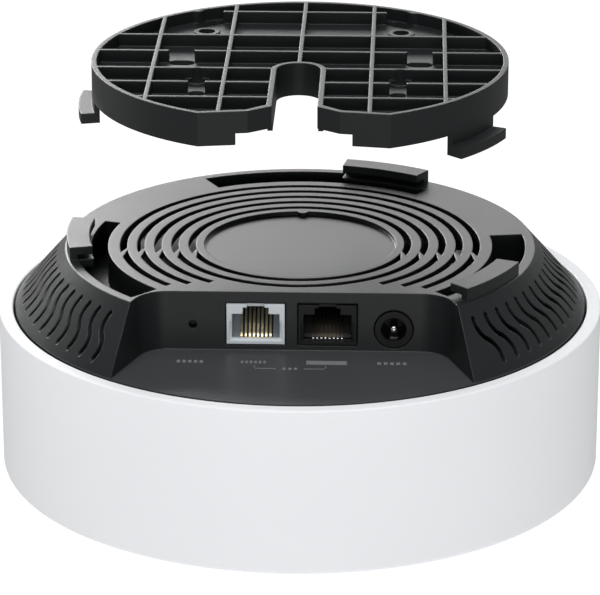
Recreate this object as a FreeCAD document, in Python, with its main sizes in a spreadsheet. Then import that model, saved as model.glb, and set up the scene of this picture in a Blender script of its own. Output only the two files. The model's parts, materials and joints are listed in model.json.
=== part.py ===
import FreeCAD, Part
import math
import os
import re

import Sketcher

# Ceiling access point on its twist-lock ceiling bracket, millimetres, +Z up into the ceiling.
# The origin is the centre of the bracket's ceiling face. The access point is stored unlocked and
# lowered below the bracket, in line with it; the port recess faces -Y.

doc = FreeCAD.newDocument("ceiling_access_point")
sheet = doc.addObject("Spreadsheet::Sheet", "Sizes")

SIZES = {
    # overall
    "drum_radius": 77.0,
    "drum_depth": 42.9,
    "rest_drop": 64.1,
    # front cover
    "drum_wall": 2.4,
    "drum_floor": 2.6,
    "drum_edge": 2.0,
    "rim_width": 3.55,
    "rim_lip": 2.5,
    # back cover
    "cover_gap": 0.55,
    "top_margin": 7.6,
    "jack_headroom": 1.04,
    "cover_wall": 2.0,
    "cover_skirt": 8.0,
    "snap_depth": 0.9,
    "disc_margin": 2.15,
    "disc_recess": 1.0,
    "nub_radius": 1.3,
    "groove_margin": 3.07,
    "groove_width": 1.85,
    "groove_pitch": 4.37,
    "groove_stop_gap": 4.5,
    "groove_step": 1.25,
    "bridge_offset": 5.4,
    "bridge_slant": 4.0,
    "bridge_width": 1.8,
    "bridge_spread": 6.5,
    # side vents
    "vent_first": -44.6,
    "vent_last": 225.3,
    "vent_pitch": 4.03,
    "vent_middle": 7.1,
    "vent_rise": 3.0,
    "vent_swing": 1.6,
    "vent_end": 1.5,
    "vent_width": 1.3,
    "vent_blind": 1.0,
    # port recess
    "recess_back": 37.4,
    "recess_half": 31.0,
    "recess_corner": 7.5,
    "recess_flare": 20.5,
    "recess_draft": 3.4,
    "recess_wall": 1.8,
    "recess_floor": 1.6,
    # twist lock
    "lock_turn": 29.0,
    "tab_half": 10.5,
    "hook_half": 11.5,
    "lock_spare": 2.1,
    "slot_inset": 1.9,
    "slot_gap": 1.1,
    "entry_gap": 1.8,
    "slot_depth": 8.5,
    "slot_wall": 1.4,
    "hook_width": 5.8,
    "hook_leg": 2.0,
    "hook_height": 3.4,
    "hook_plate": 2.1,
    # ceiling bracket
    "bracket_radius": 52.2,
    "bracket_height": 8.4,
    "bracket_wall": 1.3,
    "web_drop": 3.2,
    "web_thickness": 1.3,
    "rib_thickness": 1.0,
    "notch_half": 5.5,
    "notch_apex": 4.7,
    "mouth_half": 11.0,
    "mouth_inset": 2.338,
    "lip_half": 22.0,
    "passage_width": 28.0,
    "passage_height": 2.9,
    "tab_reach": 3.4,
    "tab_thickness": 2.6,
    "tab_drop": 2.7,
    "screw_hole": 4.3,
    # ports
    "jack_width": 14.3,
    "jack_height": 10.3,
    "jack_length": 16.0,
    "jack_play": 0.25,
    "plug_width": 11.8,
    "plug_height": 6.7,
    "plug_depth": 13.5,
    "light_jack_x": -9.7,
    "dark_jack_x": 8.0,
    "contact_pitch": 1.016,
    "contact_width": 0.45,
    "contact_thickness": 0.35,
    "contact_rise": 5.0,
    "power_x": 24.3,
    "power_ring": 4.65,
    "power_bore": 3.15,
    "power_pin": 1.0,
    "power_lift": 4.1,
    "nose_reach": 1.1,
    "reset_x": -25.2,
    "reset_lift": 4.8,
    "reset_hole": 1.0,
    "reset_travel": 0.3,
    # electronics
    "board_clear": 0.5,
    "board_thickness": 1.6,
    "board_gap": 0.4,
    "boss_inset": 13.0,
    "boss_radius": 3.0,
    "screw_radius": 1.1,
    "head_radius": 2.5,
    "head_height": 1.5,
    "can_height": 2.6,
    "can_wall": 0.2,
    "chip_height": 1.3,
    "pad_thickness": 1.0,
    "spreader_inset": 6.0,
    "spreader_thickness": 2.0,
    "fin_height": 4.0,
    "fin_thickness": 1.2,
    "fin_pitch": 7.0,
    "carrier_clear": 2.4,
    "carrier_drop": 20.0,
    "carrier_floor": 2.0,
    "carrier_wall": 2.0,
    "carrier_boss_inset": 5.4,
    "carrier_boss": 3.2,
    "carrier_boss_drop": 3.0,
    "carrier_boss_skin": 1.56,
    "carrier_boss_cap": 3.6,
    "carrier_seat": 7.0,
    "running_gap": 0.35,
    "light_radius": 2.2,
    "lens_radius": 3.0,
    "guide_radius": 15.0,
    "guide_thickness": 1.5,
    "antenna_inset": 13.5,
    "antenna_sheet": 0.5,
    "lead_radius": 0.6,
}

GROOVE_COUNT = 5

# Sizes that follow from the ones above, so that what fits together stays together.
DERIVED = {
    "cover_height": "board_thickness + jack_height + jack_headroom + cover_wall",
    "cover_radius": "drum_radius - rim_width - cover_gap",
    "cover_top_radius": "bracket_radius + top_margin",
    "cone_slope": "(cover_radius - cover_top_radius) / cover_height",
    "cone_wall": "cover_wall * sqrt(1 + cone_slope * cone_slope)",
    "slot_radius": "bracket_radius - bracket_wall - slot_inset",
    "groove_outer": "slot_radius - groove_margin",
    "groove_inner": f"groove_outer - groove_width - {GROOVE_COUNT - 1} * groove_pitch",
    "disc_radius": "groove_inner - disc_margin",
    "bracket_front": "sqrt(bracket_radius * bracket_radius - lip_half * lip_half)",
    "mouth_depth": "bracket_front - mouth_inset",
    "carrier_radius": "cover_radius - cover_wall - carrier_clear",
    "board_radius": "carrier_radius - carrier_wall - board_clear",
    "carrier_boss_circle": "board_radius - carrier_boss_inset",
    "carrier_boss_room": "cover_radius - carrier_boss_circle - carrier_boss - carrier_boss_skin",
    "carrier_boss_rise": "carrier_boss_room / cone_slope",
    "carrier_pilot_rise": "carrier_boss_rise - carrier_boss_cap",
    "boss_circle": "board_radius - boss_inset",
    "spreader_radius": "boss_circle - spreader_inset",
    "antenna_circle": "carrier_radius - antenna_inset",
}

for row, (alias, number) in enumerate(SIZES.items(), 1):
    sheet.set(f"A{row}", alias)
    sheet.set(f"B{row}", str(number))
    sheet.setAlias(f"B{row}", alias)
doc.recompute()

# Levels and shared places, as expressions of the sheet's cells.
RIM = "(-rest_drop)"
TOP = "(cover_height - rest_drop)"
DRUM_BASE = "(-rest_drop - drum_depth)"
BOARD_TOP = "(board_thickness - rest_drop)"
LEDGE_RADIUS = "(bracket_radius + slot_gap)"
TAB_RADIUS = "(bracket_radius + tab_reach)"
ENTRY_RADIUS = f"({TAB_RADIUS} + entry_gap)"
SLOT_FLOOR = f"({TOP} - slot_depth)"
TAB_TOP = "(-bracket_height - tab_drop)"
WEB_TOP = "(-web_drop)"
PORT_FACE = "(-recess_back)"
CAN_BASE = f"({RIM} - can_height)"
SPREADER_TOP = f"({CAN_BASE} - pad_thickness)"
SPREADER_BASE = f"({SPREADER_TOP} - spreader_thickness)"
CARRIER_BASE = f"({RIM} - carrier_drop - carrier_floor)"
CARRIER_TOP = f"({RIM} - carrier_drop)"

# The lock stations: angle of each tab, and how far its slot runs on past the tab on either side.
STATIONS = {
    "right": {"angle": -33.2, "tail": 1.7, "entry": 0.0},
    "back": {"angle": 68.0, "tail": 4.4, "entry": 8.6},
    "left": {"angle": 183.5, "tail": 9.5, "entry": 0.9},
}
BOARD_SCREWS = (30, 150, 215, 325)
CARRIER_SCREWS = (90, 211.2, 329.5)
SCREW_LENGTH = 4.4
MARGIN = 5.0


def sized(text):
    """Spells out the derived sizes in an expression and refers its aliases to the sheet."""
    def spell(word):
        name = word[0]
        if name in DERIVED:
            return f"({sized(DERIVED[name])})"
        return "Sizes." + name if name in SIZES else name
    return re.sub(r"[a-z_]+", spell, str(text))


def value(text):
    return float(sheet.evalExpression(sized(text)))


def bind(item, **expressions):
    for name, text in expressions.items():
        item.setExpression(name.replace("__", "."), sized(text))
    return item


def place(item, at, turn=0):
    """Puts an item at three expressions, turned about +Z by an expression in degrees."""
    item.Placement = FreeCAD.Placement(FreeCAD.Vector(), FreeCAD.Rotation(FreeCAD.Vector(0, 0, 1), 0))
    bind(item, Placement__Base__x=at[0], Placement__Base__y=at[1], Placement__Base__z=at[2])
    if str(turn) != "0":
        bind(item, Placement__Rotation__Angle=turn)
    return item


def cylinder(name, radius, height, at=(0, 0, 0)):
    item = bind(doc.addObject("Part::Cylinder", name), Radius=radius, Height=height)
    return place(item, at)


def cone(name, lower, upper, height, at):
    item = bind(doc.addObject("Part::Cone", name), Radius1=lower, Radius2=upper, Height=height)
    return place(item, at)


def block(name, size, at, turn=0):
    """A box given by the middle of its base, turned about that point."""
    item = bind(doc.addObject("Part::Box", name), Length=size[0], Width=size[1], Height=size[2])
    half_x, half_y = f"(({size[0]}) / 2)", f"(({size[1]}) / 2)"
    corner_x = f"{at[0]} - {half_x} * cos({turn}) + {half_y} * sin({turn})"
    corner_y = f"{at[1]} - {half_x} * sin({turn}) - {half_y} * cos({turn})"
    return place(item, (corner_x, corner_y, at[2]), turn)


def polar(radius, angle, level):
    return (f"({radius}) * cos({angle})", f"({radius}) * sin({angle})", level)


def fuse(name, parts):
    item = doc.addObject("Part::MultiFuse", name)
    item.Shapes = parts
    item.Refine = True
    return item


def cut(name, base, tools):
    item = doc.addObject("Part::Cut", name)
    item.Base = base
    item.Tool = tools[0] if len(tools) == 1 else fuse(name + "_tools", tools)
    item.Refine = True
    return item


def common(name, first, second):
    item = doc.addObject("Part::Common", name)
    item.Base = first
    item.Tool = second
    return item


def group(name, parts):
    item = doc.addObject("Part::Compound", name)
    item.Links = parts
    return item


def sector(name, inner, outer, start, sweep, base, height):
    """A ring segment about the Z axis."""
    whole = cylinder(name + "_outer", outer, height, (0, 0, base))
    bind(whole, Angle=sweep, Placement__Rotation__Angle=start)
    core = cylinder(name + "_inner", inner, f"({height}) + 2 * {MARGIN}", (0, 0, f"{base} - {MARGIN}"))
    return cut(name, whole, [core])


def ring(name, inner, outer, base, height):
    whole = cylinder(name + "_outer", outer, height, (0, 0, base))
    core = cylinder(name + "_inner", inner, f"({height}) + 2 * {MARGIN}", (0, 0, f"{base} - {MARGIN}"))
    return cut(name, whole, [core])


def coded(name, shape):
    """A feature whose shape is worked out here from the sheet's sizes."""
    item = doc.addObject("Part::Feature", name)
    item.Shape = shape
    return item


def sketch_on(body, role, points):
    """A closed outline of straight lines whose corners are bound to pairs of expressions."""
    sketch = body.newObject("Sketcher::SketchObject", body.Name + "_outline")
    plane = next(item for item in body.Origin.OriginFeatures if item.Role == role)
    sketch.AttachmentSupport = [(plane, "")]
    sketch.MapMode = "FlatFace"
    spots = [(value(x), value(y)) for x, y in points]
    for index, spot in enumerate(spots):
        ahead = spots[(index + 1) % len(spots)]
        sketch.addGeometry(Part.LineSegment(FreeCAD.Vector(*spot, 0), FreeCAD.Vector(*ahead, 0)), False)
    for index, (spot, pair) in enumerate(zip(spots, points)):
        ahead = (index + 1) % len(spots)
        sketch.addConstraint(Sketcher.Constraint("Coincident", index, 2, ahead, 1))
        rules = (("DistanceX", -2, spot[0], pair[0]), ("DistanceY", -1, spot[1], pair[1]))
        for kind, axis, number, text in rules:
            if number == 0:
                sketch.addConstraint(Sketcher.Constraint("PointOnObject", index, 1, axis))
            else:
                rule = sketch.addConstraint(Sketcher.Constraint(kind, -1, 1, index, 1, number))
                sketch.setExpression(f"Constraints[{rule}]", sized(text))
    return sketch


def turned(name, points):
    """A body turned about the Z axis from a half section given as radius and height pairs."""
    body = doc.addObject("PartDesign::Body", name)
    sketch = sketch_on(body, "XZ_Plane", points)
    turn = body.newObject("PartDesign::Revolution", name + "_turn")
    turn.Profile = sketch
    turn.ReferenceAxis = (sketch, ["V_Axis"])
    turn.Angle = 360
    return body


def rounded(body, radius, wanted):
    """Adds a fillet to the edges of the body's tip that the wanted function picks."""
    doc.recompute()
    tip = body.Tip
    names = [f"Edge{index}" for index, edge in enumerate(tip.Shape.Edges, 1) if wanted(edge)]
    fillet = body.newObject("PartDesign::Fillet", tip.Name + "_round")
    fillet.Base = (tip, names)
    bind(fillet, Radius=radius)
    return body


def circle_at(edge, radius, level):
    """True for a full circle of a radius at a height."""
    box = edge.BoundBox
    flat = abs(box.ZMin - level) < 0.01 and abs(box.ZMax - level) < 0.01
    return flat and abs(box.XMax - radius) < 0.01 and abs(box.XMin + radius) < 0.01


# ---- front cover -------------------------------------------------------------------------------

def front_cover():
    inner = "drum_radius - drum_wall"
    floor = f"{DRUM_BASE} + drum_floor"
    hole = "lens_radius + running_gap"
    body = turned("front_cover", [
        (hole, DRUM_BASE),
        ("drum_radius", DRUM_BASE),
        ("drum_radius", RIM),
        ("drum_radius - rim_width", RIM),
        ("drum_radius - rim_width", f"{RIM} - rim_lip"),
        (inner, f"{RIM} - rim_lip - (rim_width - drum_wall)"),
        (inner, floor),
        (hole, floor),
    ])
    base, radius = value(DRUM_BASE), value("drum_radius")
    rounded(body, "drum_edge", lambda edge: circle_at(edge, radius, base))
    rim = value(RIM)
    return rounded(body, "drum_edge / 5", lambda edge: circle_at(edge, radius, rim))


# ---- back cover --------------------------------------------------------------------------------

def recess_outline(name, grow):
    """The port recess in plan, level with the rim, with its walls moved out by a thickness."""
    back = value("recess_back") - grow
    half, corner, flare = value("recess_half"), value("recess_corner"), math.radians(value("recess_flare"))
    centre = FreeCAD.Vector(half, -value("recess_back") - corner, 0)
    reach = value("drum_radius") + MARGIN
    bend = corner + grow
    middle = math.radians(90) - (math.radians(90) - flare) / 2

    def right(angle):
        return centre + FreeCAD.Vector(math.cos(angle) * bend, math.sin(angle) * bend, 0)

    start, mid, end = right(math.radians(90)), right(middle), right(flare)
    front = FreeCAD.Vector(end.x + (reach + end.y) * math.tan(flare), -reach, 0)

    def mirror(point):
        return FreeCAD.Vector(-point.x, point.y, 0)

    edges = [
        Part.makeLine(FreeCAD.Vector(-half, -back, 0), start),
        Part.Arc(start, mid, end).toShape(),
        Part.makeLine(end, front),
        Part.makeLine(front, mirror(front)),
        Part.makeLine(mirror(front), mirror(end)),
        Part.Arc(mirror(end), mirror(mid), mirror(start)).toShape(),
    ]
    return coded(name, Part.Wire(edges))


def recess_volume(name, grow, base, height, draft):
    outline = recess_outline(name + "_plan", grow)
    outline.Placement.Base.z = value(base)
    volume = doc.addObject("Part::Extrusion", name)
    volume.Base = outline
    volume.Dir = FreeCAD.Vector(0, 0, 1)
    volume.DirMode = "Custom"
    volume.Solid = True
    bind(volume, LengthFwd=height)
    if draft:
        bind(volume, TaperAngle="recess_draft")
    return volume


def vent_shape():
    """One side vent: an S of two equal arcs seen along the radius, as a bar pointing along +X."""
    rise, swing = value("vent_rise"), value("vent_swing")
    bend = (rise * rise + swing * swing) / (2 * swing)
    half = value("vent_width") / 2
    lean = math.atan2(rise, bend - swing)
    tail = math.asin(value("vent_end") / bend)
    inner, outer = value("cover_top_radius") - 1.0, value("drum_radius")

    def spot(side, radius, angle):
        # side +1 is the upper arc, -1 the lower one, each bulging away from its own centre
        across = side * (bend - swing) - side * radius * math.cos(angle)
        up = side * rise + side * radius * math.sin(angle)
        return FreeCAD.Vector(inner, across, up)

    def arc(side, radius, first, last):
        return Part.Arc(spot(side, radius, first), spot(side, radius, (first + last) / 2),
                        spot(side, radius, last)).toShape()

    def cap(side):
        near, far = spot(side, bend - half, tail), spot(side, bend + half, tail)
        along = (spot(side, bend, tail + 0.01) - spot(side, bend, tail)).normalize()
        return Part.Arc(near, (near + far) / 2 + along * half, far).toShape()

    edges = [
        arc(1, bend - half, -lean, tail),
        cap(1),
        arc(1, bend + half, tail, -lean),
        arc(-1, bend - half, -lean, tail),
        cap(-1),
        arc(-1, bend + half, tail, -lean),
    ]
    face = Part.Face(Part.Wire(Part.__sortEdges__(edges)))
    bar = face.extrude(FreeCAD.Vector(outer - inner, 0, 0))
    bar.translate(FreeCAD.Vector(0, 0, value(f"{RIM} + vent_middle")))
    return bar


def vents():
    """Every side vent cutter: those in front of a carrier boss are only shallow grooves."""
    first, last = value("vent_first"), value("vent_last")
    pitch = value("vent_pitch")
    count = round((last - first) / pitch)
    single = vent_shape()
    through, blind = [], []
    for index in range(count + 1):
        angle = first + (last - first) * index / count
        bar = single.copy()
        bar.rotate(FreeCAD.Vector(), FreeCAD.Vector(0, 0, 1), angle)
        near = min(abs((angle - boss + 180) % 360 - 180) for boss in CARRIER_SCREWS)
        (blind if near < pitch else through).append(bar)
    skin = cone("vent_skin", f"cover_radius - vent_blind * sqrt(1 + cone_slope * cone_slope)",
                f"cover_top_radius - vent_blind * sqrt(1 + cone_slope * cone_slope)",
                "cover_height", (0, 0, RIM))
    shallow = cut("vents_blind", coded("vents_blind_bars", Part.makeCompound(blind)), [skin])
    return [coded("vents_through", Part.makeCompound(through)), shallow]


def groove_piece(inner, outer, corners, depth):
    """A stretch of a round through-slot whose two ends are slanted: corners are four angles."""
    level = value(TOP) + 1.0
    start_in, start_out, end_in, end_out = (math.radians(angle) for angle in corners)

    def spot(radius, angle):
        return FreeCAD.Vector(radius * math.cos(angle), radius * math.sin(angle), level)

    edges = [
        Part.Arc(spot(inner, start_in), spot(inner, (start_in + end_in) / 2),
                 spot(inner, end_in)).toShape(),
        Part.makeLine(spot(inner, end_in), spot(outer, end_out)),
        Part.Arc(spot(outer, end_out), spot(outer, (start_out + end_out) / 2),
                 spot(outer, start_out)).toShape(),
        Part.makeLine(spot(outer, start_out), spot(inner, start_in)),
    ]
    return Part.Face(Part.Wire(edges)).extrude(FreeCAD.Vector(0, 0, -depth))


def grooves():
    """The concentric through-slots of the top, each bridged at the left and at the right.

    Those that would reach the port recess stop short of it on either side.
    """
    limit = value("recess_back - groove_stop_gap")
    slant, width, spread = value("bridge_slant"), value("bridge_width"), value("bridge_spread")
    depth = value("cover_wall + disc_recess") + 2.0
    pieces = []
    for index in range(GROOVE_COUNT):
        inner = value("groove_inner") + index * value("groove_pitch")
        outer = inner + value("groove_width")
        dip = math.degrees(math.asin(value("bridge_offset") / inner))
        scale = value("groove_inner") / inner
        slope, strip, gap = slant * scale * 1.6, width * scale * 1.6, spread * scale * 1.6
        back = (-dip, -dip - slope, 180 + dip, 180 + dip + slope)
        pieces.append(groove_piece(inner, outer, back, depth))
        left_in, left_out = 180 + dip + strip, 180 + dip + strip + gap
        if outer <= limit:
            front = (left_in, left_out, 540 - left_in, 540 - left_out)
            pieces.append(groove_piece(inner, outer, front, depth))
            continue
        front_reach = limit - value("groove_step") * (GROOVE_COUNT - 1 - index)
        stop = 180 + math.degrees(math.asin(front_reach / outer))
        for side in (1, -1):
            corners = (left_in, left_out, stop, stop)
            if side < 0:
                corners = (540 - stop, 540 - stop, 540 - left_in, 540 - left_out)
            pieces.append(groove_piece(inner, outer, corners, depth))
    return coded("grooves", Part.makeCompound(pieces))


def slots(grow):
    """The lock slots: an open entry, and a stretch under a ledge that the tab turns into."""
    tools = []
    wide = f"({ENTRY_RADIUS} + {grow})"
    inner = f"(slot_radius - {grow})"
    level = f"({SLOT_FLOOR} - {grow})"
    arc = f"({grow} * 1.2)"
    for name, station in STATIONS.items():
        mid = station["angle"]
        tail = f"({mid} - tab_half - {station['tail']} - {arc})"
        hook_end = f"({mid} + hook_half)"
        entry_end = f"({mid} + lock_turn + tab_half + lock_spare + {station['entry']} + {arc})"
        label = f"slot_{name}_{'wall' if grow != '0' else 'cut'}"
        entry_sweep = f"{entry_end} - {hook_end}"
        tail_sweep = f"{hook_end} - {tail}"
        over = f"slot_depth + {grow} + 1"
        under = f"slot_depth + {grow} - cover_wall"
        if grow != "0":
            tools.append(sector(label, inner, wide, tail, f"{entry_end} - {tail}", level,
                                f"slot_depth + {grow}"))
            continue
        tools.append(sector(label + "_entry", inner, wide, hook_end, entry_sweep, level, over))
        tools.append(sector(label + "_narrow", inner, LEDGE_RADIUS, tail, tail_sweep, level, over))
        tools.append(sector(label + "_under", inner, wide, tail, tail_sweep, level, under))
    return tools


def hooks():
    """A raised hook beside each lock slot: an upright leg with a plate that leans inwards."""
    outer = "cover_top_radius - 0.4"
    made = []
    for name, station in STATIONS.items():
        start = f"({station['angle']} - hook_half)"
        made.append(sector(f"hook_{name}_leg", f"{outer} - hook_leg", outer, start, "2 * hook_half",
                           f"{TOP} - 0.5", "hook_height + 0.5"))
        made.append(sector(f"hook_{name}_plate", f"{outer} - hook_width", outer, start, "2 * hook_half",
                           f"{TOP} + hook_height - hook_plate", "hook_plate"))
    return made


def screw_bosses():
    """Board bosses under the top, carrier bosses that pass down through the board, and their holes."""
    upper, lower, holes = [], [], []
    for index, angle in enumerate(BOARD_SCREWS):
        height = "cover_height - board_thickness - cover_wall / 2"
        at = polar("boss_circle", angle, BOARD_TOP)
        upper.append(cylinder(f"board_boss_{index}", "boss_radius", height, at))
        at = polar("boss_circle", angle, f"{BOARD_TOP} - 0.5")
        holes.append(cylinder(f"board_pilot_{index}", "screw_radius + 0.03", SCREW_LENGTH - 1.0, at))
    for index, angle in enumerate(CARRIER_SCREWS):
        at = polar("carrier_boss_circle", angle, f"{RIM} - carrier_boss_drop")
        lower.append(cylinder(f"carrier_boss_{index}", "carrier_boss",
                              "carrier_boss_drop + carrier_boss_rise", at))
        at = polar("carrier_boss_circle", angle, f"{RIM} - carrier_boss_drop - 0.5")
        holes.append(cylinder(f"carrier_pilot_{index}", "screw_radius + 0.03",
                              "carrier_boss_drop + 0.5 + carrier_pilot_rise", at))
    return upper, lower, holes


def port_openings():
    """What the recess's back wall is cut for: two network jacks, the power jack and the reset pin."""
    face = f"({PORT_FACE})"
    tools = []
    for name in ("light_jack_x", "dark_jack_x"):
        size = ("jack_width + 2 * jack_play", 8, "jack_height + 2 * jack_play")
        tools.append(block(f"opening_{name}", size,
                           (name, f"{face} + recess_wall / 2", f"{BOARD_TOP} - jack_play")))
    tools.append(bore("opening_power", "power_ring + jack_play", 8,
                      ("power_x", f"{face} - 3", f"{BOARD_TOP} + power_lift")))
    tools.append(bore("opening_reset", "reset_hole", 8,
                      ("reset_x", f"{face} - 3", f"{BOARD_TOP} + reset_lift")))
    return tools


def bore(name, radius, length, at):
    """A cylinder along +Y that starts at a point."""
    item = bind(doc.addObject("Part::Cylinder", name), Radius=radius, Height=length)
    item.Placement = FreeCAD.Placement(FreeCAD.Vector(), FreeCAD.Rotation(FreeCAD.Vector(1, 0, 0), -90))
    bind(item, Placement__Base__x=at[0], Placement__Base__y=at[1], Placement__Base__z=at[2])
    return item


def snap_teeth():
    """Teeth round the skirt that catch under the front cover's lip."""
    level = f"{RIM} - rim_lip - (rim_width - drum_wall) - 1.9"
    return [sector(f"snap_{index}", "cover_radius - 0.5", "cover_radius + snap_depth",
                   60 * index + 25, 10, level, 1.6) for index in range(6)]


def back_cover():
    outer = fuse("cover_outer", [
        cone("cover_cone", "cover_radius", "cover_top_radius", "cover_height", (0, 0, RIM)),
        cylinder("cover_skirt", "cover_radius", "cover_skirt", (0, 0, f"{RIM} - cover_skirt")),
    ])
    plate = "cover_height - cover_wall"
    void = fuse("cover_void", [
        cone("void_cone", "cover_radius - cone_wall",
             f"cover_radius - cone_wall - cone_slope * ({plate})", plate, (0, 0, RIM)),
        cylinder("void_skirt", "cover_radius - cone_wall", "cover_skirt + 1",
                 (0, 0, f"{RIM} - cover_skirt - 1")),
    ])
    kept = [recess_volume("recess_walls", value("recess_wall"), f"{RIM} - recess_floor",
                          "cover_height + recess_floor + 1", True)]
    kept.append(cylinder("disc_back", "disc_radius + cover_wall", "cover_wall + disc_recess + 1",
                         (0, 0, f"{TOP} - cover_wall - disc_recess")))
    kept += slots("slot_wall")
    hollow = cut("cover_hollow", void, kept)
    upper, lower, pilots = screw_bosses()
    shell = fuse("cover_bossed", [cut("cover_shell", outer, [hollow])] + upper)
    openings = [recess_volume("recess_cut", 0, RIM, "cover_height + 1", True)]
    openings.append(cylinder("disc_cut", "disc_radius", "disc_recess + 1", (0, 0, f"{TOP} - disc_recess")))
    openings += slots("0") + port_openings() + vents() + [grooves()]
    opened = cut("cover_opened", shell, openings)
    nub = cylinder("disc_nub", "nub_radius", "disc_recess", (0, "disc_radius", f"{TOP} - disc_recess"))
    solid = fuse("cover_solid", [opened, nub] + hooks() + lower + snap_teeth())
    return cut("back_cover", solid, pilots)


# ---- ceiling bracket ---------------------------------------------------------------------------

def bracket_plan(name, inset, base, height):
    """The bracket's outline in plan, moved in by an inset: a disc with a shallow mouth and a notch."""
    disc = cylinder(name + "_disc", f"bracket_radius - {inset}", height, (0, 0, base))
    far = "bracket_radius + 2"
    body = doc.addObject("PartDesign::Body", name + "_mouth")
    sketch = sketch_on(body, "XY_Plane", [
        (f"-({far})", f"-({far})"),
        ("-lip_half - 4", f"-bracket_front + {inset}"),
        (f"-mouth_half - {inset} / 3", f"-mouth_depth + {inset}"),
        (f"-notch_half - {inset}", f"-mouth_depth + 4 + {inset}"),
        (f"notch_half + {inset}", f"-mouth_depth + 4 + {inset}"),
        (f"mouth_half + {inset} / 3", f"-mouth_depth + {inset}"),
        (f"lip_half + 4", f"-bracket_front + {inset}"),
        (far, f"-({far})"),
    ])
    bind(sketch, AttachmentOffset__Base__z=base)
    pad = body.newObject("PartDesign::Pad", name + "_mouth_pad")
    pad.Profile = sketch
    bind(pad, Length=height)
    apex = "(-notch_apex - notch_half)"
    slot = block(name + "_notch", (f"2 * (notch_half + {inset})", f"bracket_radius + {apex}", height),
                 (0, f"({apex} - bracket_radius) / 2", base))
    end = cylinder(name + "_notch_end", f"notch_half + {inset}", height, (0, apex, base))
    return cut(name, disc, [body, slot, end])


def bracket_ribs():
    """The grid of ribs on the ceiling side, flush with the wall's top."""
    ribs = []
    long = "2 * bracket_radius"
    for index, x in enumerate((-36.3, -18.1, 0, 18.1, 36.3)):
        ribs.append(block(f"rib_along_{index}", ("rib_thickness", long, "web_drop"), (x, 0, WEB_TOP)))
    for index, y in enumerate((42, 20, 5.6, -9.2, -21, -33.4)):
        ribs.append(block(f"rib_across_{index}", (long, "rib_thickness", "web_drop"), (0, y, WEB_TOP)))
    return ribs


def bracket_holes():
    """Screw holes and slots through the web."""
    base, height = f"{WEB_TOP} - web_thickness - 1", "web_drop + web_thickness + 2"
    tools = []
    for side, label in ((1, "right"), (-1, "left")):
        for index, (x, y) in enumerate(((25.2, 32.4), (25.2, -11.5), (24.7, -21.0))):
            tools.append(cylinder(f"hole_{label}_{index}", "screw_hole / 2", height, (side * x, y, base)))
        level = [cylinder(f"slot_end_{label}_{end}", "screw_hole / 2", height,
                          (side * 30 + end * 1.2, 5.2, base)) for end in (-1, 1)]
        level.append(block(f"slot_mid_{label}", (2.4, "screw_hole", height), (side * 30, 5.2, base)))
        lean = [cylinder(f"lean_end_{label}_{end}", 2.0, height,
                         (side * 24.8 + end * 1.6, f"41.3 + {side * end * -1.2}", base)) for end in (-1, 1)]
        turn = -side * math.degrees(math.atan2(1.2, 1.6))
        lean.append(block(f"lean_mid_{label}", (4.0, 4.0, height), (side * 24.8, 41.3, base), turn))
        tools += level + lean
    return tools


def hole_bosses():
    """Low collars round the screw holes on the ribbed side."""
    made = []
    for side in (1, -1):
        for index, (x, y) in enumerate(((25.2, 32.4), (25.2, -11.5))):
            made.append(cylinder(f"collar_{side}_{index}".replace("-", "m"), "screw_hole / 2 + 1.2", 0.5,
                                 (side * x, y, WEB_TOP)))
    return made


def bracket_tabs():
    """The three lock tabs: a skirt that goes on down from the wall, with a flange at its foot."""
    made = []
    for name, station in STATIONS.items():
        start = f"({station['angle']} - tab_half)"
        made.append(sector(f"tab_{name}_skirt", "bracket_radius - bracket_wall", "bracket_radius", start,
                           "2 * tab_half", f"{TAB_TOP} - tab_thickness", "tab_drop + tab_thickness + 0.5"))
        made.append(sector(f"tab_{name}_flange", "bracket_radius - bracket_wall", TAB_RADIUS, start,
                           "2 * tab_half", f"{TAB_TOP} - tab_thickness", "tab_thickness"))
    return made


def bracket_plate():
    whole = bracket_plan("bracket_whole", "0", "-bracket_height", "bracket_height")
    upper = bracket_plan("bracket_upper", "bracket_wall", WEB_TOP, "web_drop + 1")
    lower_height = "bracket_height - web_drop - web_thickness"
    lower = bracket_plan("bracket_lower", "bracket_wall", "-bracket_height - 1", f"{lower_height} + 1")
    passage = block("bracket_passage", ("passage_width", 22, "passage_height + 1"),
                    (0, "-mouth_depth", "-bracket_height - 1"))
    tray = cut("bracket_tray", whole, [upper, lower, passage])
    grid = common("bracket_grid", fuse("bracket_ribs", bracket_ribs()),
                  bracket_plan("bracket_fill", "bracket_wall / 2", WEB_TOP, "web_drop"))
    solid = fuse("bracket_solid", [tray, grid] + hole_bosses() + bracket_tabs())
    return cut("bracket_plate", solid, bracket_holes())


# ---- ports and switch --------------------------------------------------------------------------

def jack_shell(name, across):
    """A network jack's housing: a plug cavity with the stepped latch notch upwards."""
    middle = f"{PORT_FACE} + jack_length / 2"
    shell = block(name + "_case", ("jack_width", "jack_length", "jack_height"), (across, middle, BOARD_TOP))
    floor = f"{BOARD_TOP} + 1"
    depth = f"{PORT_FACE} + plug_depth / 2 - 0.5"
    tools = [block(name + "_plug", ("plug_width", "plug_depth + 1", "plug_height"), (across, depth, floor))]
    for index, (width, height) in enumerate(((6.4, 1.0), (3.6, 1.7))):
        tools.append(block(f"{name}_latch_{index}", (width, "plug_depth + 1", f"plug_height + {height}"),
                           (across, depth, floor)))
    return cut(name, shell, tools)


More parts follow.
